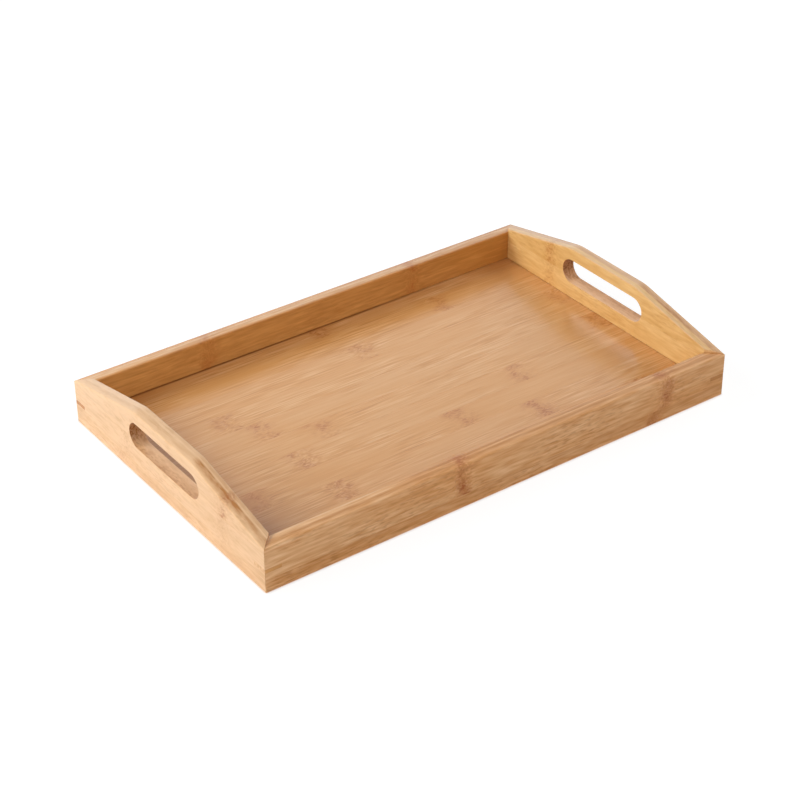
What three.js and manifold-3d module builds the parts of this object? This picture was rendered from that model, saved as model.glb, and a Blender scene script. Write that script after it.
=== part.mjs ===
// Bamboo serving tray: four mitred walls of glued strips around a floor of edge-glued slats.
// Millimetres, +Z up. The origin is under the middle of the tray, on the surface it stands on.
// X runs along the tray, Y from the front rail to the back rail.

import * as THREE from 'three';
import { mergeVertices } from 'three/addons/utils/BufferGeometryUtils.js';
import Module from 'manifold-3d';

// Outside of the tray
const trayLength = 400;
const trayWidth = 252;
const railHeight = 35;
const wallThickness = 11;

// End boards: level over the grip, then falling straight to the rails at the corners
const handleHeight = 54;
const handleFlat = 75;
const handleKinkRadius = 40;

// Grip slot through each end board, round at both ends
const slotLength = 92;
const slotHeight = 20;
const slotCentreHeight = 34;
const slotEdgeRadius = 0.4;

// Worked edges of a wall: a gently falling band and a tight turn outside, a small round inside
const crownWidth = 7;
const crownFall = 0.58;
const crownTurn = 1.2;
const crownDrop = 2.1;
const innerEdgeRadius = 0.6;
const cornerChamfer = 0.6;

// Strips that the walls are glued up from
const lowerStripHeight = 10;
const endMiddleStripHeight = 20;

// Floor of slats, let into a groove round the walls
const floorThickness = 5;
const floorRise = 6;
const tongueDepth = 4;
const slatWidth = 23.25;
const backSlatWidth = 18;
const narrowestSlat = 6;

// Keys let into the mitred corners
const keyLeg = 13;
const keyThickness = 3;
const keyCentreHeight = 17;

// Clearances
const glueGap = 0.1;
const mitreGap = 0.3;
const floorGap = 0.3;
const keyGap = 0.3;
const overcut = 0.3;

// Facets on the rounded edges
const edgeSegments = 3;
const slotSegments = 10;

const quarterTurn = Math.PI / 2;

const bambooColours = {
  pale: 0xe0b078,
  honey: 0xd6a064,
  amber: 0xc98f52,
  dark: 0xb67a40,
};

const wasm = await Module();
wasm.setup();

function solidFrom(geometry) {
  const bare = geometry.clone();
  bare.deleteAttribute('normal');
  bare.deleteAttribute('uv');
  const welded = mergeVertices(bare);
  const mesh = new wasm.Mesh({
    numProp: 3,
    vertProperties: new Float32Array(welded.attributes.position.array),
    triVerts: new Uint32Array(welded.index.array),
  });
  return new wasm.Manifold(mesh);
}

function geometryFrom(solid) {
  const mesh = solid.getMesh();
  const geometry = new THREE.BufferGeometry();
  geometry.setAttribute('position', new THREE.BufferAttribute(new Float32Array(mesh.vertProperties), 3));
  geometry.setIndex(new THREE.BufferAttribute(new Uint32Array(mesh.triVerts), 1));
  geometry.computeVertexNormals();
  return geometry;
}

function bambooMesh(name, geometry, colour) {
  const material = new THREE.MeshStandardMaterial({ color: colour, roughness: 0.35, metalness: 0 });
  const mesh = new THREE.Mesh(geometry, material);
  mesh.name = name;
  return mesh;
}

// A box given by its lowest and highest corners.
function boxBetween(low, high) {
  const size = high.map((value, axis) => value - low[axis]);
  const middle = high.map((value, axis) => (value + low[axis]) / 2);
  return new THREE.BoxGeometry(...size).translate(...middle);
}

// A wall is shaped in its own axes: X along the wall, Y inwards from its outer face, Z up.
// Its group then turns it to one side of the tray.

// Section of a wall, inwards and up, with its crest at height 0 and its foot at -depth.
function wallSection(depth) {
  const slopePerWidth = crownFall / (crownWidth - crownTurn);
  const section = new THREE.Shape();
  section.moveTo(0, -depth);
  section.lineTo(wallThickness, -depth);
  section.lineTo(wallThickness, -innerEdgeRadius);
  section.quadraticCurveTo(wallThickness, 0, wallThickness - innerEdgeRadius, 0);
  section.lineTo(crownWidth, 0);
  section.lineTo(crownTurn, -crownFall);
  section.quadraticCurveTo(0, -slopePerWidth * crownWidth, 0, -crownDrop);
  section.closePath();
  return section;
}

// A straight length of wall whose crest passes a given place and height, tilted along its run.
function crestBar(tilt, crestAlong, crestHeight) {
  const reach = trayLength + trayWidth;
  const depth = handleHeight + reach;
  const bar = new THREE.ExtrudeGeometry(wallSection(depth), {
    depth: 2 * reach,
    bevelEnabled: false,
    curveSegments: edgeSegments,
  });
  bar.translate(0, 0, -reach);
  const axes = new THREE.Matrix4().makeBasis(
    new THREE.Vector3(0, 1, 0),
    new THREE.Vector3(0, 0, 1),
    new THREE.Vector3(1, 0, 0),
  );
  bar.applyMatrix4(axes);
  bar.rotateY(tilt);
  bar.translate(crestAlong, 0, crestHeight);
  return solidFrom(bar);
}

// Plan of a wall between its two mitres, with the outer corners taken off.
function mitredPlan(run, height) {
  const half = run / 2 - mitreGap / Math.SQRT2;
  const plan = new THREE.Shape();
  plan.moveTo(-half + cornerChamfer, 0);
  plan.lineTo(half - cornerChamfer, 0);
  plan.lineTo(half - cornerChamfer / 2, cornerChamfer / 2);
  plan.lineTo(half - wallThickness, wallThickness);
  plan.lineTo(-half + wallThickness, wallThickness);
  plan.lineTo(-half + cornerChamfer / 2, cornerChamfer / 2);
  plan.closePath();
  return solidFrom(new THREE.ExtrudeGeometry(plan, { depth: height, bevelEnabled: false }));
}

// Groove for the floor, open to the inside of the tray.
function floorGroove(run) {
  const bottom = floorRise - floorGap;
  const top = floorRise + floorThickness + floorGap;
  const low = [-run / 2, wallThickness - tongueDepth - floorGap, bottom];
  const high = [run / 2, wallThickness + overcut, top];
  return solidFrom(boxBetween(low, high));
}

// Triangle across a corner: its legs lie along the two outer faces.
function keyPlan(leg, back, tip) {
  const plan = new THREE.Shape();
  plan.moveTo(tip - back, -back);
  plan.lineTo(leg, -back);
  plan.lineTo(-back, leg);
  if (tip > 0) {
    plan.lineTo(-back, tip - back);
  }
  plan.closePath();
  return plan;
}

// Saw cut for the key at one end of a wall, on the side given by the sign.
function keyCut(run, side) {
  const leg = keyLeg + keyGap * Math.SQRT2 + overcut;
  const height = keyThickness + 2 * keyGap;
  const cut = new THREE.ExtrudeGeometry(keyPlan(leg, overcut, 0), { depth: height, bevelEnabled: false });
  cut.rotateZ(side > 0 ? quarterTurn : 0);
  cut.translate(side * run / 2, 0, keyCentreHeight - height / 2);
  return solidFrom(cut);
}

// Tool for the grip slot: it flares where it leaves the board, so both edges come out rounded.
function slotCutter() {
  const radius = slotHeight / 2;
  const straight = slotLength / 2 - radius;
  const outline = new THREE.Shape();
  outline.absarc(straight, 0, radius, -quarterTurn, quarterTurn, false);
  outline.absarc(-straight, 0, radius, quarterTurn, 3 * quarterTurn, false);
  outline.closePath();
  const cutter = new THREE.ExtrudeGeometry(outline, {
    depth: wallThickness + 2 * overcut - 2 * slotEdgeRadius,
    bevelEnabled: true,
    bevelThickness: slotEdgeRadius,
    bevelSize: -slotEdgeRadius,
    bevelOffset: slotEdgeRadius,
    bevelSegments: edgeSegments,
    curveSegments: slotSegments,
  });
  cutter.rotateX(quarterTurn);
  cutter.translate(0, wallThickness + overcut - slotEdgeRadius, slotCentreHeight);
  return solidFrom(cutter);
}

// The part of a wall between two heights.
function strip(wall, bottom, top) {
  const reach = trayLength + trayWidth;
  const slab = boxBetween([-reach, -overcut, bottom], [reach, wallThickness + overcut, top]);
  return geometryFrom(wall.intersect(solidFrom(slab)));
}

function cutWall(blank, run) {
  return blank
    .intersect(mitredPlan(run, handleHeight + overcut))
    .subtract(floorGroove(run))
    .subtract(keyCut(run, -1))
    .subtract(keyCut(run, 1));
}

function railStrips() {
  const wall = cutWall(crestBar(0, 0, railHeight), trayLength);
  return {
    lower: strip(wall, 0, lowerStripHeight - glueGap / 2),
    upper: strip(wall, lowerStripHeight + glueGap / 2, railHeight),
  };
}

// The end board's crest is level over the grip and falls to the rails, with a flat across each kink.
function endBlank() {
  const kink = handleFlat / 2;
  const fall = Math.atan2(handleHeight - railHeight, trayWidth / 2 - kink);
  const kinkDrop = handleKinkRadius * (1 / Math.cos(fall / 2) - 1);
  let blank = crestBar(0, 0, handleHeight);
  for (const side of [-1, 1]) {
    blank = blank
      .intersect(crestBar(side * fall, side * trayWidth / 2, railHeight))
      .intersect(crestBar(side * fall / 2, side * kink, handleHeight - kinkDrop));
  }
  return blank;
}

function endStrips() {
  const wall = cutWall(endBlank(), trayWidth).subtract(slotCutter());
  const middleTop = lowerStripHeight + endMiddleStripHeight;
  return {
    lower: strip(wall, 0, lowerStripHeight - glueGap / 2),
    middle: strip(wall, lowerStripHeight + glueGap / 2, middleTop - glueGap / 2),
    upper: strip(wall, middleTop + glueGap / 2, handleHeight),
  };
}

// One side of the tray: its strips in a group turned so that the wall's outer face is outside.
function wallSide(prefix, strips, colours, x, y, turn) {
  const side = new THREE.Group();
  for (const [place, geometry] of Object.entries(strips)) {
    side.add(bambooMesh(`${prefix}_${place}_slat`, geometry, colours[place]));
  }
  side.position.set(x, y, 0);
  side.rotation.z = turn;
  return side;
}

function walls() {
  const group = new THREE.Group();
  const rail = railStrips();
  const end = endStrips();
  const { pale, honey, amber, dark } = bambooColours;
  const railColours = { lower: dark, upper: amber };
  const leftColours = { lower: honey, middle: pale, upper: pale };
  const rightColours = { lower: amber, middle: honey, upper: honey };
  group.add(wallSide('front_rail', rail, railColours, 0, -trayWidth / 2, 0));
  group.add(wallSide('right_end', end, rightColours, trayLength / 2, 0, quarterTurn));
  group.add(wallSide('back_rail', rail, railColours, 0, trayWidth / 2, 2 * quarterTurn));
  group.add(wallSide('left_end', end, leftColours, -trayLength / 2, 0, -quarterTurn));
  return group;
}

// Widths of the floor's slats from the back: a narrower one, full ones, and what is left at the front.
function slatWidths(depth) {
  const widths = [backSlatWidth];
  let left = depth - backSlatWidth;
  while (left >= slatWidth + narrowestSlat) {
    widths.push(slatWidth);
    left -= slatWidth;
  }
  if (left > slatWidth) {
    widths.push(left / 2, left / 2);
  } else {
    widths.push(left);
  }
  return widths;
}

function floor() {
  const group = new THREE.Group();
  const tones = [bambooColours.honey, bambooColours.pale, bambooColours.amber];
  const length = trayLength - 2 * (wallThickness - tongueDepth);
  const depth = trayWidth - 2 * (wallThickness - tongueDepth);
  let back = depth / 2;
  slatWidths(depth).forEach((width, index) => {
    const slat = new THREE.BoxGeometry(length, width - glueGap, floorThickness);
    const name = `floor_slat_${String(index + 1).padStart(2, '0')}`;
    const mesh = bambooMesh(name, slat, tones[index % tones.length]);
    mesh.position.set(0, back - width / 2, floorRise + floorThickness / 2);
    group.add(mesh);
    back -= width;
  });
  return group;
}

function cornerKeys() {
  const group = new THREE.Group();
  const corners = [
    ['front_left', -1, -1],
    ['front_right', 1, -1],
    ['back_right', 1, 1],
    ['back_left', -1, 1],
  ];
  corners.forEach(([corner, sideX, sideY], index) => {
    const plan = keyPlan(keyLeg, 0, cornerChamfer);
    const key = new THREE.ExtrudeGeometry(plan, { depth: keyThickness, bevelEnabled: false });
    const mesh = bambooMesh(`corner_key_${corner}`, key, bambooColours.dark);
    mesh.position.set(sideX * trayLength / 2, sideY * trayWidth / 2, keyCentreHeight - keyThickness / 2);
    mesh.rotation.z = index * quarterTurn;
    group.add(mesh);
  });
  return group;
}

const tray = new THREE.Group();
tray.add(floor(), walls(), cornerKeys());

export default tray;
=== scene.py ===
import math

import bmesh
import bpy
from mathutils import Matrix, Vector


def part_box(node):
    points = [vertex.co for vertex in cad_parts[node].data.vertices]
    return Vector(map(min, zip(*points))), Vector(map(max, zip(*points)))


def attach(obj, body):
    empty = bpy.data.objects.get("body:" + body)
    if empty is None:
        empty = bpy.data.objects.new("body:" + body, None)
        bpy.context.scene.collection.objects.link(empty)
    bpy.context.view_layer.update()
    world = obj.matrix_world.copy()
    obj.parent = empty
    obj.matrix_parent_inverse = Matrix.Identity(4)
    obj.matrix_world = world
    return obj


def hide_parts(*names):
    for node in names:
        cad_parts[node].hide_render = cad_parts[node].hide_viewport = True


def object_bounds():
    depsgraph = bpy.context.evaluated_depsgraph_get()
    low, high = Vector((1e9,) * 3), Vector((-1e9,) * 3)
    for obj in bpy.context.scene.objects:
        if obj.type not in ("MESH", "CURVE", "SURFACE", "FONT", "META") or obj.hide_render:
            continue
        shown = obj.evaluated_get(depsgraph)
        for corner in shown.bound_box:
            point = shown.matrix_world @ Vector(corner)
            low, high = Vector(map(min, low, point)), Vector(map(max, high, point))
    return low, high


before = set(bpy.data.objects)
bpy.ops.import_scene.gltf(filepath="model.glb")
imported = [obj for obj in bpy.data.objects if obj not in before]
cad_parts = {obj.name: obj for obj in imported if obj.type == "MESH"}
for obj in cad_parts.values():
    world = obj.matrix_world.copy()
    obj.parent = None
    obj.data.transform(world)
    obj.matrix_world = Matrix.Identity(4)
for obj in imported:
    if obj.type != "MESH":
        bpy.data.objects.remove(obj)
cadLow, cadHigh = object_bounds()
print("frame loaded:", len(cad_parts), "bamboo pieces")

mm = 0.001
farAway = 9.0  # where a strip with fewer than two knuckles keeps the others

# Sizes taken from the solids
railLow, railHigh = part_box("front_rail_upper_slat")
floorLow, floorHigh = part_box("floor_slat_01")
thickness = railHigh.y - railLow.y
railHeight = railHigh.z
handleHeight = cadHigh.z
trayLength = cadHigh.x - cadLow.x
trayWidth = cadHigh.y - cadLow.y
lowerSeam = (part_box("front_rail_lower_slat")[1].z + railLow.z) / 2
upperSeam = (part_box("left_end_middle_slat")[1].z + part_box("left_end_upper_slat")[0].z) / 2


# Node trees

def findSocket(sockets, key):
    if isinstance(key, int):
        return sockets[key]
    for socket in sockets:
        if socket.identifier == key:
            return socket
    return sockets[key]


class Wire:  # an output socket that takes part in sums
    def __init__(self, kit, socket):
        self.kit = kit
        self.socket = socket

    def pick(self, name):  # another output of the same node
        return Wire(self.kit, findSocket(self.socket.node.outputs, name))

    def __add__(self, other):
        return self.kit.maths("ADD", self, other)

    def __radd__(self, other):
        return self.kit.maths("ADD", other, self)

    def __sub__(self, other):
        return self.kit.maths("SUBTRACT", self, other)

    def __rsub__(self, other):
        return self.kit.maths("SUBTRACT", other, self)

    def __mul__(self, other):
        return self.kit.maths("MULTIPLY", self, other)

    def __rmul__(self, other):
        return self.kit.maths("MULTIPLY", other, self)

    def __truediv__(self, other):
        return self.kit.maths("DIVIDE", self, other)

    def __rtruediv__(self, other):
        return self.kit.maths("DIVIDE", other, self)


class NodeKit:
    def __init__(self, tree):
        self.tree = tree
        tree.nodes.clear()

    def node(self, kind, settings=None, sockets=None, out=0):
        made = self.tree.nodes.new(kind)
        for key, value in (settings or {}).items():
            if key == "stops":
                self.setStops(made.color_ramp, value)
            else:
                setattr(made, key, value)
        for key, value in (sockets or {}).items():
            self.feed(findSocket(made.inputs, key), value)
        return Wire(self, findSocket(made.outputs, out)) if len(made.outputs) else made

    def feed(self, socket, value):
        if isinstance(value, Wire):
            self.tree.links.new(value.socket, socket)
        else:
            socket.default_value = value

    def setStops(self, ramp, stops):
        while len(ramp.elements) < len(stops):
            ramp.elements.new(1.0)
        for element, (place, colour) in zip(ramp.elements, stops):
            element.position = place
            element.color = colour

    def maths(self, operation, *values):
        names = ("Value", "Value_001")
        return self.node("ShaderNodeMath", {"operation": operation}, dict(zip(names, values)))

    def vector(self, x, y, z):
        return self.node("ShaderNodeCombineXYZ", None, {"X": x, "Y": y, "Z": z})

    def blend(self, share, first, second):
        sockets = {"Factor_Float": share, "A_Color": first, "B_Color": second}
        return self.node("ShaderNodeMix", {"data_type": "RGBA"}, sockets, "Result_Color")

    def smooth(self, value, low, high):
        sockets = {"Value": value, "From Min": low, "From Max": high}
        return self.node("ShaderNodeMapRange", {"interpolation_type": "SMOOTHSTEP"}, sockets)

    def attribute(self, name):
        return self.node("ShaderNodeAttribute", {"attribute_name": name}, None, "Fac")


# Lacquered bamboo

bamboo = {
    "amber": (0.52, 0.20, 0.045, 1),
    "honey": (0.69, 0.33, 0.10, 1),
    "pale": (0.83, 0.53, 0.29, 1),
    "dash": (0.42, 0.16, 0.03, 1),
    "knuckle": (0.41, 0.11, 0.015, 1),
    # pale also serves as painted highlight on the crests, and ochre as stain and painted shade
    "ochre": (0.47, 0.18, 0.035, 1),
    # this also colours the painted shade in the slots and the painted shadow on the floor
    "endGrainAndShade": (0.32, 0.11, 0.02, 1),
    "toneStep": 0.1,  # how far one step of tone goes from amber towards pale
    "goldTint": (0.055, 0.1, 0.06),  # more red, more green and less blue on a warm face
    "oliveTint": 0.08,  # less red on a yellow face
    "figure": 1.0,  # strength of the streaks, from the widest to the finest
    "cloudDepth": 0.35,
    "streakDepth": 0.4,
    "fibreDepth": 0.7,
    "dashDepth": 0.35,
    "lightDepth": 0.5,  # how far the streaks also change how bright the wood is
    "gather": 0.4,  # how far the fibres gather in patches, with plain wood between
    "slatShift": (17.3, 5.7),  # gives each strip a pattern of its own
    "fibreCount": 480,  # fibres to the metre across a strip
    "fibreLength": 18 * mm,
    "streakScale": (0.25, 0.4),  # how often along and across, against the fibres
    "fleckScale": (2.5, 1.1),
    "fleckSpan": (0.5, 0.7),
    "knuckleDepth": 0.8,
    "knuckleBlush": 0.3,  # how much of a knuckle is an even tint, and the rest flecks
    "knuckleHalf": 5 * mm,  # half the length of a knuckle along the strip
    "knuckleWander": 15 * mm,  # how unevenly its edge crosses the strip
    "knuckleShift": 70 * mm,  # how far the fibres' pattern moves on across it
    "knuckleSwirl": 8 * mm,  # how far the fibres bend in it
    "fleckLeast": 0.4,  # how dark its flecks are outside its blots
    "scarLength": 0.2,  # the thin scar in its middle, against the knuckle
    "scarWander": 0.4,
    "scarDepth": 0.1,
    "blushLength": 3,  # the warmer wood on both sides, against the knuckle
    "blushDepth": 0.08,
    "wearAndLightLeast": 0.45,  # painted highlight and shade and the wear on an edge come and go
    "wearAndLightSwing": 0.85,
    "sawnAndShadedLeast": 0.6,  # how dark a sawn end and a slot's painted shade are, and how much more their specks
    "sawnAndShadedSwing": 0.35,
    "wallShade": 0.0,  # painted shadow of the left end board on the floor beside it, deepest at the board
    "wallReach": 75 * mm,
    "jointShade": 0.0,  # dark line of the floor's joint with the back rail
    "jointLine": (-2.4 * mm, -0.4 * mm),  # across it, from the rail
    "jointFade": (130 * mm, 30 * mm),  # along it, from the middle of the tray
    "roughness": 0.45,
    "fibreRoughness": 0.2,
    "specular": 0.2,
    "lacquerRoughness": 0.16,
    "lacquerIndex": 1.4,
    "lacquerLoss": (0.15, 0.6),  # on the dashes and on sawn ends
    "grainHeight": 0.12 * mm,
    "grainStrength": 0.4,
    "fibreRelief": 0.8,
    "streakRelief": 0.5,
    "dashRelief": 0.3,
    "knuckleRelief": 0.4,
}
# what differs from one part of the tray to another
floorLook = {"figure": 0.7, "cloudDepth": 0.25, "streakDepth": 0.25, "fibreDepth": 1.5, "fibreCount": 800,
             "fibreLength": 30 * mm, "lightDepth": 0.25, "gather": 0.8, "wallShade": 0.65,
             "jointShade": 0.95, "knuckleDepth": 0.95, "knuckleBlush": 0.4, "knuckleHalf": 7 * mm,
             "knuckleWander": 22 * mm, "lacquerRoughness": 0.22, "lacquerIndex": 1.55}
railLook = {"honey": (0.71, 0.325, 0.10, 1), "streakDepth": 0.3, "fibreDepth": 0.9, "fibreCount": 560,
            "dashDepth": 0.5, "knuckleBlush": 0.55}
endLook = {"figure": 0.65, "fibreLength": 14 * mm}
# how often to the metre along a strip and across it, the detail, and for a mask where it starts and is full
patterns = {
    "wander": (20, 150, 2.0, None),
    "swirl": (110, 110, 1.0, None),
    "cloud": (6, 40, 1.0, None),
    "gathered": (14, 50, 1.0, (0.35, 0.65)),
    "dashed": (14, 35, 1.0, (0.4, 0.6)),
    "speck": (260, 640, 1.0, (0.46, 0.62)),
    "blot": (90, 110, 1.0, (0.3, 0.65)),
    "patchy": (45, 420, 2.0, (0.3, 0.7)),
}


def bambooFinish(name, grain, changes=None):
    look = {**bamboo, **(changes or {})}
    material = bpy.data.materials.new(name)
    material.use_nodes = True
    kit = NodeKit(material.node_tree)
    place = kit.node("ShaderNodeTexCoord", out="Object")
    split = kit.node("ShaderNodeSeparateXYZ", None, {"Vector": place})
    run, side, up = split, split.pick("Y"), split.pick("Z")
    if grain == "Y":
        run, side = side, run
    slat = kit.attribute("slat")
    tone = kit.attribute("tone")
    mark = kit.attribute("mark")
    depth = kit.attribute("depth")
    gold = kit.attribute("gold")
    olive = kit.attribute("olive")
    edge = kit.attribute("edge")
    end = kit.attribute("end")
    shiftAlong, shiftAcross = look["slatShift"]

    def noise(along, across, detail, bend=0.0):
        acrossSpot = (side + bend) * across + slat * shiftAcross
        spot = kit.vector(along + slat * shiftAlong, acrossSpot, (up + bend) * across)
        return kit.node("ShaderNodeTexNoise", None, {"Vector": spot, "Scale": 1.0, "Detail": detail})

    def pattern(kind, bend=0.0):
        along, across, detail, span = patterns[kind]
        value = noise(run * along, across, detail, bend)
        return kit.smooth(value, *span) if span else value - 0.5

    wander = pattern("wander") * look["knuckleWander"]
    half = look["knuckleHalf"]
    band = 0.0
    core = 0.0
    blush = 0.0
    pinched = run
    for knuckleName in ("knuckleA", "knuckleB"):
        offset = run - kit.attribute(knuckleName)
        reach = (offset + wander) / half
        band = band + 1 / (1 + reach * reach * reach * reach)
        scar = (offset + wander * look["scarWander"]) / (look["scarLength"] * half)
        core = core + 1 / (1 + scar * scar)
        wide = offset / (look["blushLength"] * half)
        blush = blush + 1 / (1 + wide * wide)
        pinched = pinched + kit.maths("TANH", offset / half) * look["knuckleShift"]

    # fibres run straight, and are gathered and bent where they cross a knuckle
    count = look["fibreCount"]
    rate = 1 / look["fibreLength"]
    swirl = pattern("swirl") * band * look["knuckleSwirl"]
    cloud = pattern("cloud")
    streakAlong, streakAcross = look["streakScale"]
    streak = noise(run * (rate * streakAlong), count * streakAcross, 2.0) - 0.5
    strength = depth * (1 - look["gather"] * pattern("gathered"))
    fibre = (noise(pinched * rate, count, 1.0, swirl) - 0.5) * strength
    fleckAlong, fleckAcross = look["fleckScale"]
    fleckNoise = noise(pinched * (rate * fleckAlong), count * fleckAcross, 1.0, swirl)
    dashes = kit.smooth(fleckNoise, *look["fleckSpan"]) * strength * pattern("dashed")
    speck = pattern("speck", swirl)
    blot = pattern("blot")
    haze = look["knuckleBlush"]
    flecked = speck * (look["fleckLeast"] + (1 - look["fleckLeast"]) * blot)
    knuckle = mark * (band * (haze * blot + (1 - haze) * flecked) + core * look["scarDepth"])

    figure = (streak * look["streakDepth"] + fibre * look["fibreDepth"]) * look["figure"]
    warmth = 0.5 + tone * look["toneStep"] + cloud * look["cloudDepth"] + figure
    warmth = warmth - blush * mark * look["blushDepth"]
    ramp = {"stops": [(0.0, look["amber"]), (0.5, look["honey"]), (1.0, look["pale"])]}
    ground = kit.node("ShaderNodeValToRGB", ramp, {"Fac": warmth})
    light = 1 + figure * look["lightDepth"]
    red, green, blue = look["goldTint"]
    tint = kit.vector(light * (1 + gold * red - olive * look["oliveTint"]),
                      light * (1 + gold * green), light * (1 - gold * blue))
    grained = kit.node("ShaderNodeVectorMath", {"operation": "MULTIPLY"},
                       {"Vector": ground, "Vector_001": tint})
    dashed = kit.blend(dashes * look["dashDepth"] * look["figure"], grained, look["dash"])
    # edge paints the crests paler or deeper: partly wear, partly painted highlight and shade
    patchy = look["wearAndLightLeast"] + look["wearAndLightSwing"] * pattern("patchy")
    shaded = kit.blend(kit.maths("MAXIMUM", 0 - edge, 0.0) * patchy, dashed, look["ochre"])
    wornAndHighlit = kit.blend(kit.maths("MAXIMUM", edge, 0.0) * patchy, shaded, look["pale"])
    # painted shadow of the left end board on the floor beside it
    if look["wallShade"]:
        fromWall = run + (trayLength / 2 - thickness)
        shade = kit.smooth(fromWall, look["wallReach"], 0.0)
        wornAndHighlit = kit.blend(shade * shade * look["wallShade"], wornAndHighlit, look["endGrainAndShade"])
    if look["jointShade"]:
        fromRail = side - (trayWidth / 2 - thickness)
        line = kit.smooth(fromRail, *look["jointLine"]) * kit.smooth(run, *look["jointFade"])
        wornAndHighlit = kit.blend(line * look["jointShade"], wornAndHighlit, look["endGrainAndShade"])
    # sawn ends of the slots, and the painted shade on their bottoms, in the end grain colour
    sawnAndShaded = kit.blend(end * (look["sawnAndShadedLeast"] + look["sawnAndShadedSwing"] * speck), wornAndHighlit, look["endGrainAndShade"])
    colour = kit.blend(kit.maths("MINIMUM", knuckle * look["knuckleDepth"], 1.0), sawnAndShaded, look["knuckle"])

    raised = fibre * look["fibreRelief"] + streak * look["streakRelief"]
    height = raised - dashes * look["dashRelief"] - knuckle * look["knuckleRelief"]
    sockets = {"Height": height, "Distance": look["grainHeight"], "Strength": look["grainStrength"]}
    relief = kit.node("ShaderNodeBump", None, sockets)
    dashLoss, sawnLoss = look["lacquerLoss"]
    surface = kit.node("ShaderNodeBsdfPrincipled", None, {
        "Base Color": colour,
        "Roughness": look["roughness"] + fibre * look["fibreRoughness"],
        "Specular IOR Level": look["specular"],
        "Normal": relief,
        "Coat Weight": 1.0 - dashes * dashLoss - end * sawnLoss,
        "Coat Roughness": look["lacquerRoughness"],
        "Coat IOR": look["lacquerIndex"],
    })
    kit.node("ShaderNodeOutputMaterial", None, {"Surface": surface})
    return material


# Shared steps for the pieces

mergeDistance = 0.002 * mm
sharpAngle = math.radians(40)


def meshPiece(name, mesh):
    piece = bpy.data.objects.new(name, mesh)
    bpy.context.scene.collection.objects.link(piece)
    return piece


def pieceFromBmesh(name, work):
    bmesh.ops.remove_doubles(work, verts=work.verts, dist=mergeDistance)
    bmesh.ops.recalc_face_normals(work, faces=work.faces)
    mesh = bpy.data.meshes.new(name)
    work.to_mesh(mesh)
    work.free()
    return meshPiece(name, mesh)


def loftRings(name, work, rings):  # a closed skin over rings of points, one after another
    for first, second in zip(rings, rings[1:]):
        for place in range(len(first)):
            after = (place + 1) % len(first)
            work.faces.new((first[place], first[after], second[after], second[place]))
    work.faces.new(rings[0])
    work.faces.new(list(reversed(rings[-1])))
    return pieceFromBmesh(name, work)


def settle(piece):  # turns the modified shape into the piece's own mesh
    graph = bpy.context.evaluated_depsgraph_get()
    mesh = bpy.data.meshes.new_from_object(piece.evaluated_get(graph), depsgraph=graph)
    piece.modifiers.clear()
    piece.data = mesh


def cutWith(piece, cutters):
    for cutter in cutters:
        cut = piece.modifiers.new("cut", "BOOLEAN")
        cut.operation = "DIFFERENCE"
        cut.solver = "EXACT"
        cut.object = cutter
    settle(piece)


def easeShading(piece):  # broad faces stay flat and the rounded edges between them run smooth
    piece.data.shade_smooth()
    piece.data.set_sharp_from_angle(angle=sharpAngle)
    weigh = piece.modifiers.new("weigh", "WEIGHTED_NORMAL")
    weigh.keep_sharp = True
    settle(piece)


def setGrain(piece, values):  # what the finish reads: one list of point values for each name
    for name, numbers in values.items():
        stored = piece.data.attributes.get(name) or piece.data.attributes.new(name, "FLOAT", "POINT")
        stored.data.foreach_set("value", numbers)


def setStripGrain(piece, slat, tone, mark=1.0, depth=1.0, knuckles=(), fade=0.0):
    # depth is the strength of the fibres, and fade how far the tone has sunk at the strip's right end
    count = len(piece.data.vertices)
    first, second = (list(knuckles) + [farAway, farAway])[:2]
    values = {"slat": slat, "mark": mark, "depth": depth, "knuckleA": first, "knuckleB": second}
    setGrain(piece, {name: [value] * count for name, value in values.items()})
    share = [(vertex.co.x - cadLow.x) / (cadHigh.x - cadLow.x) for vertex in piece.data.vertices]
    setGrain(piece, {"tone": [tone - fade * part for part in share]})


def mountPiece(piece, material, slotName, *nodes):
    piece.data.materials.clear()
    piece.data.materials.append(material)
    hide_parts(*nodes)
    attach(piece, "root")


# Floor: one row of edge-glued slats

floorPanel = {
    "gap": 0.015 * mm,
    "edgeEase": 0.07 * mm,
    "edgeSteps": 3,
    "toneSeed": 11,
    "tone": 0.8,
    "toneSwing": 0.5,
    # on each slat from the back: how dark its knuckles are, and where they lie along it from the middle
    "knuckles": {
        0: (0.7, -1.5 * mm),
        1: (0.6, 101 * mm),
        2: (0.55, 11 * mm),
        3: (0.55, -124 * mm, 183 * mm),
        4: (0.8, -108 * mm),
        5: (0.65, -71.5 * mm, 183 * mm),
        6: (0.7, -103 * mm, 87 * mm),
        7: (0.75, -156 * mm, 15 * mm),
        8: (0.75, -103 * mm, 68.5 * mm),
        9: (0.7, -20 * mm, 150 * mm),
        10: (0.7, 60 * mm),
    },
}


def slatNames():
    return sorted(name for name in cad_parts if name.startswith("floor_slat"))


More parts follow.
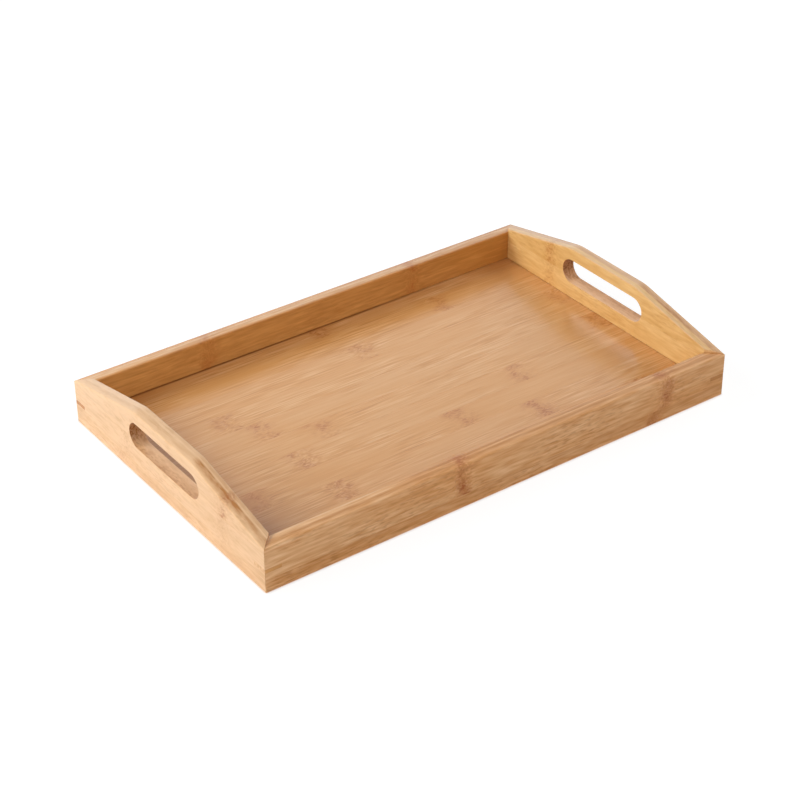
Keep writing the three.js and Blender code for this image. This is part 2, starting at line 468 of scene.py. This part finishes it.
def slatFloorTree(material):
    tree = bpy.data.node_groups.new("slatFloor", "GeometryNodeTree")
    kit = NodeKit(tree)
    face = tree.interface
    for name in ("Length", "Slat width", "Back width", "Front width", "Thickness",
                 "Back edge", "Middle height", "Gap", "Edge ease", "Tone", "Tone swing"):
        face.new_socket(name, in_out="INPUT", socket_type="NodeSocketFloat")
    for name in ("Count", "Tone seed"):
        face.new_socket(name, in_out="INPUT", socket_type="NodeSocketInt")
    face.new_socket("Geometry", in_out="OUTPUT", socket_type="NodeSocketGeometry")

    given = kit.node("NodeGroupInput")
    size = {item.name: given.pick(item.name) for item in face.items_tree if item.in_out == "INPUT"}
    oneWidth = size["Slat width"] - size["Gap"]
    section = kit.node("GeometryNodeCurvePrimitiveQuadrilateral", None,
                       {"Width": oneWidth, "Height": size["Thickness"]})
    rounded = kit.node("GeometryNodeFilletCurve", {"mode": "POLY"},
                       {"Curve": section, "Count": floorPanel["edgeSteps"], "Radius": size["Edge ease"]})
    half = size["Length"] / 2
    line = kit.node("GeometryNodeCurvePrimitiveLine", None,
                    {"Start": kit.vector(0 - half, 0, 0), "End": kit.vector(half, 0, 0)})
    slat = kit.node("GeometryNodeCurveToMesh", None,
                    {"Curve": line, "Profile Curve": rounded, "Fill Caps": True})

    # the first and the last slat are ripped narrower than the rest
    index = kit.node("GeometryNodeInputIndex")
    first = kit.maths("LESS_THAN", index, 0.5)
    last = kit.maths("GREATER_THAN", index, size["Count"] - 1.5)
    width = (size["Slat width"] + first * (size["Back width"] - size["Slat width"])
             + last * (size["Front width"] - size["Slat width"]))
    start = (1 - first) * (size["Back width"] + (index - 1) * size["Slat width"])
    middle = size["Back edge"] - start - width / 2
    spots = kit.node("GeometryNodePoints", None, {
        "Count": size["Count"],
        "Position": kit.vector(0, middle, size["Middle height"]),
    })
    row = kit.node("GeometryNodeInstanceOnPoints", None, {
        "Points": spots,
        "Instance": slat,
        "Scale": kit.vector(1, (width - size["Gap"]) / oneWidth, 1),
    })
    tones = kit.node("FunctionNodeRandomValue", {"data_type": "FLOAT"}, {
        "Min_001": size["Tone"] - size["Tone swing"],
        "Max_001": size["Tone"] + size["Tone swing"],
        "ID": index,
        "Seed": size["Tone seed"],
    }, "Value_001")
    stored = row
    for name, value in (("slat", index), ("tone", tones)):
        stored = kit.node("GeometryNodeStoreNamedAttribute", {"data_type": "FLOAT", "domain": "INSTANCE"},
                          {"Geometry": stored, "Name": name, "Value": value})
    whole = kit.node("GeometryNodeRealizeInstances", None, {"Geometry": stored})
    finished = kit.node("GeometryNodeSetMaterial", None, {"Geometry": whole, "Material": material})
    kit.node("NodeGroupOutput", None, {"Geometry": finished})
    return tree


def makeFloor(material):
    names = slatNames()
    boxes = [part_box(name) for name in names]
    edges = [boxes[0][1].y] + [(a[0].y + b[1].y) / 2 for a, b in zip(boxes, boxes[1:])] + [boxes[-1][0].y]
    widths = [back - front for back, front in zip(edges, edges[1:])]
    low, high = boxes[0]
    piece = meshPiece("floor_panel", bpy.data.meshes.new("floor_panel"))
    tree = slatFloorTree(material)
    modifier = piece.modifiers.new("slats", "NODES")
    modifier.node_group = tree
    sizes = {
        "Length": high.x - low.x,
        "Slat width": widths[1],
        "Back width": widths[0],
        "Front width": widths[-1],
        "Thickness": high.z - low.z,
        "Back edge": edges[0],
        "Middle height": (low.z + high.z) / 2,
        "Gap": floorPanel["gap"],
        "Edge ease": floorPanel["edgeEase"],
        "Tone": floorPanel["tone"],
        "Tone swing": floorPanel["toneSwing"],
        "Count": len(names),
        "Tone seed": floorPanel["toneSeed"],
    }
    for item in tree.interface.items_tree:
        if item.in_out == "INPUT":
            modifier[item.identifier] = sizes[item.name]
    settle(piece)
    piece.data.name = "floor_panel"
    easeShading(piece)
    slats = [0.0] * len(piece.data.vertices)
    piece.data.attributes["slat"].data.foreach_get("value", slats)
    marks = [(*floorPanel["knuckles"].get(round(slat), (0.0,)), farAway, farAway)[:3] for slat in slats]
    for place, name in enumerate(("mark", "knuckleA", "knuckleB")):
        setGrain(piece, {name: [numbers[place] for numbers in marks]})
    setGrain(piece, {"depth": [1.0] * len(slats)})
    mountPiece(piece, material, "floor_bamboo", *names)
    print("floor:", len(names), "slats,", len(piece.data.polygons), "faces")


# Walls: strips with a worked top edge, mitred at the corners

wall = {
    "crownWidth": 7 * mm,  # the gently falling band outside the crest
    "crownFall": 0.58 * mm,
    "crownBulge": 0.24,  # share of its fall in its inner half
    "crownTurn": 1.2 * mm,
    "crownDrop": 2.1 * mm,
    "crestRound": 0.35 * mm,
    "innerRound": 1.0 * mm,
    "footRound": 0.3 * mm,
    "cornerRound": 0.6 * mm,
    "seamEase": 0.05 * mm,
    "seamGap": 0.02 * mm,
    "mitreGap": 0.1 * mm,
    "grooveDepth": 4.3 * mm,
    "grooveGap": 0.4 * mm,
    "handleFlat": 75 * mm,
    "kinkRadius": 40 * mm,
    "slotLength": 92 * mm,
    "slotHeight": 20 * mm,
    "slotCentre": 34 * mm,
    "slotRound": 0.4 * mm,
    "footSteps": 3,
    "innerSteps": 5,
    "crownSteps": 6,
    "stainAndShadeStart": (-3 * mm, 4 * mm),  # where the stain and painted shade along a crest set in, from the kink
    "stainAndShadeMiddle": 60 * mm,
    "stainAndShadeFade": 84 * mm,  # where it starts to fade, and how far it does
    "stainAndShadeFadeLength": 12 * mm,
    "stainAndShadeFaded": 0.5,
    "stainAndShadeSpread": 0.8,
    "tiltReach": 1.4,  # past the kinks, where the tilt's painted light and shade is full
    "paleFrom": -70 * mm,  # the stretch of a crest over which its inner edge gets a painted highlight
    "paleFull": -110 * mm,
    "liftInner": 1.3,  # how much paler each part of the crest is painted there
    "liftFlat": 0.6,
    "liftRidge": 0.2,
    "slotShade": 0.7,  # painted shade on a slot's bottom, deepest at the outer face
    # painted light on a slot's faces, paler towards the inner face
    "slotPaintedLight": 0.3,
    "slotMargin": 0.5 * mm,  # how far from a slot's face its points are still taken as sawn
    "slotSkin": 0.16 * mm,
    "faceSkin": 0.02 * mm,
}
grooveBottom = floorLow.z - wall["grooveGap"]
grooveTop = floorHigh.z + wall["grooveGap"]
slotRadius = wall["slotHeight"] / 2
slotStraight = wall["slotLength"] / 2 - slotRadius


def railCrest(along):
    return railHeight


def kinkShape():  # where it is along the board, the slope past it, and half the length of its arc
    kink = wall["handleFlat"] / 2
    slope = math.atan2(handleHeight - railHeight, trayWidth / 2 - kink)
    return kink, slope, wall["kinkRadius"] * math.tan(slope / 2)


def endCrest(along):  # level over the grip, an arc at each kink, straight down to the rails
    kink, slope, tangent = kinkShape()
    radius = wall["kinkRadius"]
    out = abs(along) - kink
    if out < -tangent:
        return handleHeight
    if out > tangent:
        return handleHeight - out * math.tan(slope)
    return handleHeight - (radius - math.sqrt(radius ** 2 - (out + tangent) ** 2))


def curveThrough(start, corner, end, steps):  # a quarter turn from start to end that bends towards corner
    points = []
    for step in range(steps + 1):
        t = step / steps
        weighted = list(zip(((1 - t) ** 2, 2 * t * (1 - t), t ** 2), (start, corner, end)))
        points.append(tuple(sum(weight * point[axis] for weight, point in weighted) for axis in (0, 1)))
    return points


def footOutline(height):  # from the outer face to the inner one, along the strip's underside
    if height is None:
        ease, steps = wall["footRound"], wall["footSteps"]
        outer = curveThrough((0, ease), (0, 0), (ease, 0), steps)
        inner = curveThrough((thickness - ease, 0), (thickness, 0), (thickness, ease), steps)
        return outer + inner
    ease = wall["seamEase"]
    low = height + wall["seamGap"] / 2
    outer = [(0, low + ease), (ease, low)]
    if height < grooveTop:
        back = thickness - wall["grooveDepth"]
        return outer + [(back, low), (back, grooveTop), (thickness, grooveTop)]
    return outer + [(thickness - ease, low), (thickness, low + ease)]


def headOutline(height, crest):  # back from the inner face to the outer one, over the strip's top
    if height is None:
        top = crest
        ease = wall["innerRound"]
        width, turn, fall = wall["crownWidth"], wall["crownTurn"], wall["crownFall"]
        steps, bulge = wall["crownSteps"], wall["crownBulge"]
        inner = curveThrough((thickness, top - ease), (thickness, top), (thickness - ease, top),
                             wall["innerSteps"])
        middle = (width + turn) / 2
        band = curveThrough((width, top), (middle, top - fall * bulge), (turn, top - fall), steps)
        slope = (1 - bulge) * fall / (middle - turn)
        outer = curveThrough(band[-1], (0, top - fall - slope * turn), (0, top - wall["crownDrop"]), steps)
        crestPoints = [(width + 3 * wall["crestRound"], top), (width + wall["crestRound"], top)]
        return inner + crestPoints + band[1:] + outer[1:]
    ease = wall["seamEase"]
    top = height - wall["seamGap"] / 2
    outer = [(ease, top), (0, top - ease)]
    if height < grooveTop:
        back = thickness - wall["grooveDepth"]
        return [(thickness, grooveBottom), (back, grooveBottom), (back, top)] + outer
    return [(thickness, top - ease), (thickness - ease, top)] + outer


# Above 0 the wood is paler and below 0 deeper: at the inner edge, the flat beside it, the ridge, the band
# outside it, and the glue line on the outer face. This is partly wear of the sanded edges and partly painted
# light: the ridge's paler line is wear with a painted highlight, and the walls' lines below add painted
# shade and highlight.
# The stain and shade darken the band past the kink at one end of the wall, given by its sign, partly a real
# stain and partly painted shade of that slope. The tilt takes the flat the same way, painted shade on that
# slope and painted light on the other. Lift is how much paler the inner edge is at one end, a painted
# highlight. Gold warms the inner face and the crest, and olive makes the inner face yellower.
wearAndLight = {
    # front rail: painted shade on the inner edge and flat, and a painted highlight on the inner edge near
    # the left end
    "front_rail": {"inner": -0.6, "flat": -0.6, "ridge": 0.4, "band": -0.65, "seam": -0.35,
                   "stainAndShade": 0.0, "tilt": 0.0, "lift": 1.0, "gold": 0.0, "olive": 0.0},
    # back rail: the paler flat, ridge and band are a painted rim light along the crest
    "back_rail": {"inner": 0.0, "flat": 0.75, "ridge": 0.6, "band": 0.8, "seam": 0.0,
                  "stainAndShade": 0.0, "tilt": 0.0, "lift": 0.0, "gold": 0.5, "olive": 1.0},
    "left_end": {"inner": -0.1, "flat": -0.15, "ridge": 0.4, "band": -0.25, "seam": 0.0,
                 "stainAndShade": 0.95, "tilt": 0.15, "lift": 0.0, "gold": 0.0, "olive": 0.0},
    # right end: the paler inner edge is a painted highlight
    "right_end": {"inner": 0.6, "flat": 0.15, "ridge": 0.3, "band": -0.25, "seam": 0.0,
                  "stainAndShade": -0.6, "tilt": 0.0, "lift": 0.0, "gold": 1.25, "olive": 0.7},
}


def ramp(value, start, end):
    return min(max((value - start) / (end - start), 0.0), 1.0)


def crownWearAndLight(along, inward, look):
    width, turn = wall["crownWidth"], wall["crownTurn"]
    kink = wall["handleFlat"] / 2
    # lean paints one slope's flat deeper and the other's paler, as painted light and shade; lift is a
    # painted highlight
    toEnd = along if look["stainAndShade"] >= 0 else -along
    tiltEnd = wall["tiltReach"] * kink
    lean = look["tilt"] * (2 * ramp(toEnd, -tiltEnd, tiltEnd) - 1)
    lift = look["lift"] * ramp(along, wall["paleFrom"], wall["paleFull"])
    if inward > thickness - 1.1 * wall["innerRound"]:
        return look["inner"] - lean + wall["liftInner"] * lift
    if inward > width + 2 * wall["crestRound"]:
        return look["flat"] - lean + wall["liftFlat"] * lift
    if inward > width:
        return look["ridge"] - lean + wall["liftRidge"] * lift
    if inward < turn:
        return 0.0
    share = (inward - turn) / (width - turn)
    # a real stain together with painted shade on the band at one end of the wall
    stainedAndShaded = ramp(toEnd, *(kink + start for start in wall["stainAndShadeStart"]))
    faded = ramp(toEnd, wall["stainAndShadeFade"], wall["stainAndShadeFade"] + wall["stainAndShadeFadeLength"])
    stainedAndShaded = stainedAndShaded * (1 - wall["stainAndShadeFaded"] * faded)
    hollow = 6.75 * share ** 2 * (1 - share)  # 1 at its height, two thirds of the way in
    return hollow * look["band"] - share ** wall["stainAndShadeSpread"] * stainedAndShaded * abs(look["stainAndShade"])


# Besides wear, this paints highlight and shade along the crests, and painted shade and light in the slots.
def setWearAndLight(piece, crest, top, look):  # also the sawn ends of a slot, and the tint of the inner face
    skin = wall["slotSkin"]
    high = crest(0.0) == handleHeight
    edges = []
    sawnEndsAndShade = []
    golds = []
    olives = []
    for vertex in piece.data.vertices:
        along, inward, up = vertex.co
        topped = top is None and crest(along) - up < 1.2 * wall["crownFall"]
        seamed = top == lowerSeam and top - up < 2 * wall["seamEase"] and inward < 2 * wall["seamEase"]
        edges.append(crownWearAndLight(along, inward, look) if topped else look["seam"] * seamed)
        inside = inward > thickness - wall["faceSkin"]
        warm = inside or (topped and inward > wall["crownWidth"])
        golds.append(look["gold"] if warm else 0.0)
        olives.append(look["olive"] if inside else 0.0)
        beyond = max(abs(along) - slotStraight, 0.0)
        sawnAndShaded = math.hypot(beyond, up - wall["slotCentre"]) < slotRadius + wall["slotMargin"]
        sawnAndShaded = sawnAndShaded and high and skin < inward < thickness - skin
        # painted shade on the slot's bottom, deepest at the outer face
        shade = wall["slotShade"] * (1 - inward / thickness) if up < wall["slotCentre"] else 0.0
        sawnEndsAndShade.append(max(beyond / slotRadius, shade) if sawnAndShaded else 0.0)
        # painted light on the slot's faces, paler towards the inner face
        if sawnAndShaded:
            edges[-1] = wall["slotPaintedLight"] * inward / thickness
    setGrain(piece, {"edge": edges, "end": sawnEndsAndShade, "gold": golds, "olive": olives})


def wallStrip(name, run, crest, bottom, top, stops):
    # points are along the wall, inwards from its outer face, and up
    half = run / 2 - wall["mitreGap"] / 2
    ease = wall["cornerRound"]
    work = bmesh.new()
    rings = []

    def outline(along):
        return footOutline(bottom) + headOutline(top, crest(along))

    def addRing(side, turn=None, along=None):
        flat = outline(0.0)
        verts = []
        for place, (inward, up) in enumerate(flat):
            if turn is None:
                depth, reach = inward, along
            else:
                depth = max(inward, ease * (1 - math.cos(turn)))
                reach = side * min(half - depth, half - ease + ease * math.sin(turn))
            up = outline(reach)[place][1]
            verts.append(work.verts.new((reach, depth, up)))
        rings.append(verts)

    turns = [math.radians(angle) for angle in (0, 15, 30, 45)]
    for turn in reversed(turns):
        addRing(-1, turn)
    for stop in stops:
        addRing(1, along=stop)
    for turn in turns:
        addRing(1, turn)
    return loftRings(name, work, rings)


def endStops():  # close together across the kinks, where the crest bends
    kink, _, tangent = kinkShape()
    bend = [kink + tangent * step / 4 for step in range(-4, 5)]
    bend += [wall["stainAndShadeMiddle"], wall["stainAndShadeFade"], wall["stainAndShadeFade"] + wall["stainAndShadeFadeLength"]]
    return [-stop for stop in reversed(bend)] + bend


def slotCutter():
    ease = wall["slotRound"]
    steps = 24
    over = 2 * mm
    rounding = [math.radians(angle) for angle in (4, 16, 28, 40, 52, 64, 76, 90)]
    levels = [(-over, ease)]
    levels += [(ease * (1 - math.cos(turn)), ease * (1 - math.sin(turn))) for turn in rounding]
    levels += [(thickness - depth, flare) for depth, flare in reversed(levels)]
    work = bmesh.new()
    rings = []
    for depth, flare in levels:
        verts = []
        for side in (1, -1):
            for step in range(steps + 1):
                angle = math.pi * step / steps - math.pi / 2
                reach = side * (slotStraight + (slotRadius + flare) * math.cos(angle))
                up = wall["slotCentre"] + side * (slotRadius + flare) * math.sin(angle)
                verts.append(work.verts.new((reach, depth, up)))
        rings.append(verts)
    return loftRings("slotCutter", work, rings)


# Corner keys

keys = {
    "clearance": 0.03 * mm,
    "edgeEase": 0.08 * mm,
    "tipShare": 0.9,  # of the corner's rounding
    "firstSlat": 60,  # numbers that set the keys' patterns
    "corners": {
        # quarter turns from the front left corner, and the tone on each face
        "front_left": (0, -0.3, 3.4),
        "front_right": (1, -4.0, -4.0),
        "back_right": (2, -4.5, -4.5),
        "back_left": (3, -5.0, -5.0),
    },
}
keyLow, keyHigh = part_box("corner_key_front_left")
keyLeg = keyHigh.x - keyLow.x


def keyPrism(name, leg, tip, back, low, high):
    work = bmesh.new()
    plan = [(tip - back, -back), (leg, -back), (-back, leg), (-back, tip - back)]
    if tip == 0:
        plan = [(-back, -back), (leg, -back), (-back, leg)]
    bottom = [work.verts.new((x, y, low)) for x, y in plan]
    top = [work.verts.new((x, y, high)) for x, y in plan]
    return loftRings(name, work, [bottom, top])


def keyCutters(run):  # one at each end of a wall, in the wall's own axes
    gap = keys["clearance"]
    over = 2 * mm
    leg = keyLeg + gap * math.sqrt(2) + over
    cutters = []
    for side in (-1, 1):
        cutter = keyPrism("keyCutter", leg, 0, over, keyLow.z - gap, keyHigh.z + gap)
        turn = 0 if side < 0 else math.pi / 2
        cutter.data.transform(Matrix.Translation((side * run / 2, 0, 0)) @ Matrix.Rotation(turn, 4, "Z"))
        cutters.append(cutter)
    return cutters


def makeKeys(material):
    tip = wall["cornerRound"] * keys["tipShare"]
    for place, (corner, (turns, near, far)) in enumerate(keys["corners"].items()):
        key = keyPrism(f"corner_key_{corner}_slip", keyLeg, tip, 0, keyLow.z, keyHigh.z)
        soften = key.modifiers.new("soften", "BEVEL")
        soften.width = keys["edgeEase"]
        soften.segments = 2
        settle(key)
        easeShading(key)
        tones = [near if vertex.co.y < vertex.co.x else far for vertex in key.data.vertices]
        sideX = 1 if turns in (1, 2) else -1
        sideY = 1 if turns in (2, 3) else -1
        spot = Matrix.Translation((sideX * trayLength / 2, sideY * trayWidth / 2, 0))
        key.data.transform(spot @ Matrix.Rotation(turns * math.pi / 2, 4, "Z"))
        setStripGrain(key, keys["firstSlat"] + place, near)
        setGrain(key, {"tone": tones})
        mountPiece(key, material, "key_bamboo", f"corner_key_{corner}")
    print("corner keys:", len(keys["corners"]))


# Tone and knuckles of each strip, along the tray or across it from its middle
strips = {
    "front_rail_lower": {"slat": 21, "tone": 1.2, "fade": 0.5, "knuckles": (133 * mm,)},
    "front_rail_upper": {"slat": 22, "tone": 2.2, "fade": 1.6, "mark": 1.2,
                         "knuckles": (-40 * mm, 143 * mm)},
    "back_rail_lower": {"slat": 23, "tone": -0.9, "fade": 4.4, "mark": 0.85, "depth": 0.6,
                        "knuckles": (-94 * mm,)},
    "back_rail_upper": {"slat": 24, "tone": -0.7, "fade": 4.4, "mark": 0.85, "depth": 0.6,
                        "knuckles": (-94 * mm, 93.5 * mm)},
    "left_end_lower": {"slat": 25, "tone": 4.5, "mark": 0.3, "knuckles": (60 * mm,)},
    "left_end_middle": {"slat": 26, "tone": 4.7, "mark": 0.3, "knuckles": (52 * mm, -75 * mm)},
    "left_end_upper": {"slat": 27, "tone": 4.8, "mark": 0.85, "knuckles": (-75 * mm,)},
    "right_end_lower": {"slat": 28, "tone": 2.9, "mark": 0.6, "knuckles": (62 * mm,)},
    "right_end_middle": {"slat": 29, "tone": 2.8, "mark": 0.6, "knuckles": (62 * mm,)},
    "right_end_upper": {"slat": 30, "tone": 2.7, "mark": 0.6, "knuckles": (61 * mm,)},
}
sides = {
    "front_rail": (0, (0, -trayWidth / 2)),
    "right_end": (1, (trayLength / 2, 0)),
    "back_rail": (2, (0, trayWidth / 2)),
    "left_end": (3, (-trayLength / 2, 0)),
}


def makeWalls(railFinish, endFinish):
    slot = slotCutter()
    railKeys = keyCutters(trayLength)
    endKeys = keyCutters(trayWidth)
    railStops = [wall["paleFull"], wall["paleFrom"], 0.0]
    kinds = {
        "rail": (trayLength, railCrest, railStops, railFinish, "rail_bamboo",
                 {"lower": (None, lowerSeam, []), "upper": (lowerSeam, None, railKeys)}),
        "end": (trayWidth, endCrest, endStops(), endFinish, "end_bamboo",
                {"lower": (None, lowerSeam, []), "middle": (lowerSeam, upperSeam, endKeys + [slot]),
                 "upper": (upperSeam, None, [slot])}),
    }
    for side, (turns, middle) in sides.items():
        run, crest, stops, finish, slotName, layers = kinds[side.split("_")[1]]
        for layer, (bottom, top, cutters) in layers.items():
            strip = wallStrip(f"{side}_{layer}_strip", run, crest, bottom, top, stops)
            if cutters:
                cutWith(strip, cutters)
            easeShading(strip)
            setWearAndLight(strip, crest, top, wearAndLight[side])
            spot = Matrix.Translation((*middle, 0)) @ Matrix.Rotation(turns * math.pi / 2, 4, "Z")
            strip.data.transform(spot)
            setStripGrain(strip, **strips[f"{side}_{layer}"])
            mountPiece(strip, finish, slotName, f"{side}_{layer}_slat")
    for cutter in [slot] + railKeys + endKeys:
        bpy.data.objects.remove(cutter)
    print("walls:", len(strips), "strips")


# Stage, light and camera

stage = {
    "size": 8.0,
    "drop": 0.3 * mm,  # keeps the ground off the tray's underside
    "bounce": 0.85,  # how much light the ground gives back to the tray
    "shown": 0.89,  # how bright the ground is before its shading
    "contact": (0.75, 0.6, 0.46, 1),  # painted contact shadow: the ground right beside the walls, lit by the lamps but without its glow
    "contactReach": 1.6 * mm,
    "shadow": 0.22,  # how much of the shading shows
    "fadeFrom": 0.8,  # further out the ground turns plain white
    "fadeTo": 2.5,
    "walls": 1.15,  # how bright the white room is in the lacquer
}
lamps = {
    "key": {"place": (-1.60, 0.0, 0.58), "size": (1.0, 0.8), "power": 10.4},
    "keyBack": {"place": (-0.98, 0.98, 0.97), "size": (1.0, 1.0), "power": 21.5},
    "right": {"place": (1.5, 0.0, 1.1), "size": (1.0, 1.0), "power": 13.2},
    "frontLow": {"place": (0.0, -1.6, 0.6), "size": (1.0, 0.8), "power": 10.2},
    "below": {"place": (0.0, 0.0, -1.0), "size": (0.35, 0.2), "power": 6.5},  # only reaches the underside
}
view = {
    "aim": (4.1 * mm, 8.7 * mm, 0.0),
    "distance": 1.5325,
    "azimuth": -35.64,
    "elevation": 32.83,
    "roll": -0.48,
    "lens": 93.6,
    "sensor": 36,
    "clip": (0.01, 50),
}
white = (1, 1, 1, 1)


def makeStage():
    half = stage["size"] / 2
    work = bmesh.new()
    corners = [(-half, -half), (half, -half), (half, half), (-half, half)]
    work.faces.new([work.verts.new((x, y, -stage["drop"])) for x, y in corners])
    mesh = bpy.data.meshes.new("ground")
    work.to_mesh(mesh)
    work.free()
    ground = meshPiece("ground", mesh)
    material = bpy.data.materials.new("groundPaper")
    material.use_nodes = True
    kit = NodeKit(material.node_tree)
    bounce = stage["bounce"]
    lit = kit.node("ShaderNodeBsdfDiffuse", None, {"Color": (bounce, bounce, bounce, 1)})
    shade = stage["shadow"]
    dim = kit.node("ShaderNodeBsdfDiffuse", None, {"Color": (shade, shade, shade, 1)})
    near = kit.node("ShaderNodeEmission", None, {"Color": white, "Strength": stage["shown"]})
    plain = kit.node("ShaderNodeEmission", None, {"Color": white, "Strength": 1.0})
    place = kit.node("ShaderNodeTexCoord", out="Object")
    distance = kit.node("ShaderNodeVectorMath", {"operation": "LENGTH"}, {"Vector": place}, "Value")
    faded = kit.smooth(distance, stage["fadeFrom"], stage["fadeTo"])
    glow = kit.node("ShaderNodeMixShader", None, {"Fac": faded, 1: near, 2: plain})
    lightPaper = kit.node("ShaderNodeAddShader", None, {0: dim, 1: glow})
    # painted contact shadow: within contactReach of the tray the ground loses its glow and shows only
    # lamp-lit diffuse
    gap = kit.node("ShaderNodeBsdfDiffuse", None, {"Color": stage["contact"]})
    free = kit.node("ShaderNodeAmbientOcclusion", None, {"Distance": stage["contactReach"]}, "AO")
    paper = kit.node("ShaderNodeMixShader", None, {"Fac": free, 1: gap, 2: lightPaper})
    rays = kit.node("ShaderNodeLightPath", out="Is Camera Ray")
    seen = kit.node("ShaderNodeMixShader", None, {"Fac": rays, 1: lit, 2: paper})
    clear = kit.node("ShaderNodeBsdfTransparent")
    under = kit.node("ShaderNodeNewGeometry", out="Backfacing")
    through = kit.maths("MAXIMUM", under, rays.pick("Is Shadow Ray"))
    both = kit.node("ShaderNodeMixShader", None, {"Fac": through, 1: seen, 2: clear})
    kit.node("ShaderNodeOutputMaterial", None, {"Surface": both})
    ground.data.materials.append(material)

    world = bpy.data.worlds.new("studio")
    bpy.context.scene.world = world
    world.use_nodes = True
    kit = NodeKit(world.node_tree)
    rays = kit.node("ShaderNodeLightPath", out="Is Camera Ray")
    dark = kit.node("ShaderNodeBackground", None, {"Color": white, "Strength": 0.0})
    walls = kit.node("ShaderNodeBackground", None, {"Color": white, "Strength": stage["walls"]})
    plain = kit.node("ShaderNodeBackground", None, {"Color": white, "Strength": 1.0})
    mirrored = kit.node("ShaderNodeMixShader", None, {"Fac": rays.pick("Is Glossy Ray"), 1: dark, 2: walls})
    sky = kit.node("ShaderNodeMixShader", None, {"Fac": rays, 1: mirrored, 2: plain})
    kit.node("ShaderNodeOutputWorld", None, {"Surface": sky})
    print("stage: white ground and room")


def makeLamps():
    for name, lamp in lamps.items():
        data = bpy.data.lights.new(name, "AREA")
        data.shape = "RECTANGLE"
        data.size, data.size_y = lamp["size"]
        data.energy = lamp["power"]
        light = bpy.data.objects.new(name, data)
        light.location = lamp["place"]
        light.visible_camera = False
        light.visible_glossy = False  # the lacquer mirrors the room, not the lamps
        light.rotation_euler = (-Vector(lamp["place"])).to_track_quat("-Z", "Y").to_euler()
        bpy.context.scene.collection.objects.link(light)
    print("lamps:", len(lamps))


def makeCamera():
    azimuth = math.radians(view["azimuth"])
    elevation = math.radians(view["elevation"])
    level = math.cos(elevation)
    back = Vector((math.sin(azimuth) * level, -math.cos(azimuth) * level, math.sin(elevation)))
    data = bpy.data.cameras.new("camera")
    data.lens = view["lens"]
    data.sensor_width = view["sensor"]
    data.clip_start, data.clip_end = view["clip"]
    camera = bpy.data.objects.new("camera", data)
    roll = Matrix.Rotation(math.radians(view["roll"]), 3, "Z")
    turn = (-back).to_track_quat("-Z", "Y").to_matrix() @ roll
    place = Matrix.Translation(Vector(view["aim"]) + back * view["distance"])
    camera.matrix_world = place @ turn.to_4x4()
    bpy.context.scene.collection.objects.link(camera)
    bpy.context.scene.camera = camera


makeCamera()
makeFloor(bambooFinish("floorBamboo", "X", floorLook))
makeWalls(bambooFinish("railBamboo", "X", railLook), bambooFinish("endBamboo", "Y", endLook))
makeKeys(bambooFinish("keyBamboo", "X"))
makeStage()
makeLamps()
bpy.context.scene.view_settings.view_transform = "Standard"
